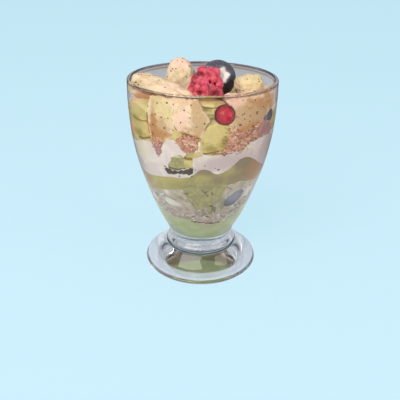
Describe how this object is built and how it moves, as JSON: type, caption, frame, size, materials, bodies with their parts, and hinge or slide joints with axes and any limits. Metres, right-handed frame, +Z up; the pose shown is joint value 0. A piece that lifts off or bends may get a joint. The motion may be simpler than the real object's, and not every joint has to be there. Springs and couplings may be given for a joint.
{
  "type": "trifle",
  "caption": "Trifle in a footed glass: custard, crumbs, sponge and cream in layers under biscuits, with a raspberry, blueberries and a red currant on top.",
  "frame": {"origin": "centre of the glass's foot on the table", "axes": "+Z up out of the glass; -Y towards the side shown to a guest; +X to that guest's right"},
  "size_m": [0.0832, 0.0832, 0.1248],
  "materials": {
    "clear_glass": "clear pressed glass, thick towards the foot, fire-polished rim",
    "pale_green_custard": "smooth set custard with a pale green cast",
    "soaked_crumbs": "damp grey-beige biscuit crumbs",
    "lower_cream": "pale beige cream with crumbs and sponge in it",
    "olive_custard": "smooth olive-yellow custard",
    "whipped_cream": "soft whipped cream, white with a pink cast",
    "yellow_custard": "thick folded yellow custard cream",
    "toasted_crumbs": "coarse toasted pink-brown crumbs",
    "seeded_biscuit": "pale sponge biscuit with small dark seeds and browned sides",
    "green_sponge": "soaked green-grey sponge",
    "dark_crust": "dark baked edge",
    "blueberry_skin": "blue-black skin with a pale bloom",
    "raspberry_flesh": "juicy red drupelets",
    "currant_skin": "taut shiny red skin"
  },
  "bodies": {
    "root": {"base_custard": "pale_green_custard", "biscuit_back": "seeded_biscuit", "biscuit_back_left": "seeded_biscuit", "biscuit_back_right": "seeded_biscuit", "biscuit_far_right": "seeded_biscuit", "biscuit_front": "seeded_biscuit", "biscuit_front_left": "seeded_biscuit", "biscuit_front_right": "seeded_biscuit", "biscuit_long": "seeded_biscuit", "biscuit_right": "seeded_biscuit", "biscuit_standing": "seeded_biscuit", "blueberry_back": "blueberry_skin", "blueberry_low": "blueberry_skin", "blueberry_low_back": "blueberry_skin", "blueberry_side": "blueberry_skin", "blueberry_top": "blueberry_skin", "crumbs_back": "toasted_crumbs", "crumbs_left": "toasted_crumbs", "crumbs_right": "toasted_crumbs", "crumbs_tip": "toasted_crumbs", "currant": "currant_skin", "dark_crust": "dark_crust", "glass": "clear_glass", "green_custard": "olive_custard", "lower_cream": "lower_cream", "lower_crumbs": "soaked_crumbs", "raspberry": "raspberry_flesh", "sponge_back": "green_sponge", "sponge_front": "green_sponge", "sponge_front_right": "green_sponge", "sponge_left": "green_sponge", "sponge_wedge": "green_sponge", "sponge_wedge_back": "green_sponge", "top_custard": "yellow_custard", "white_cream": "whipped_cream", "yellow_scrap": "seeded_biscuit"}
  },
  "joints": []
}
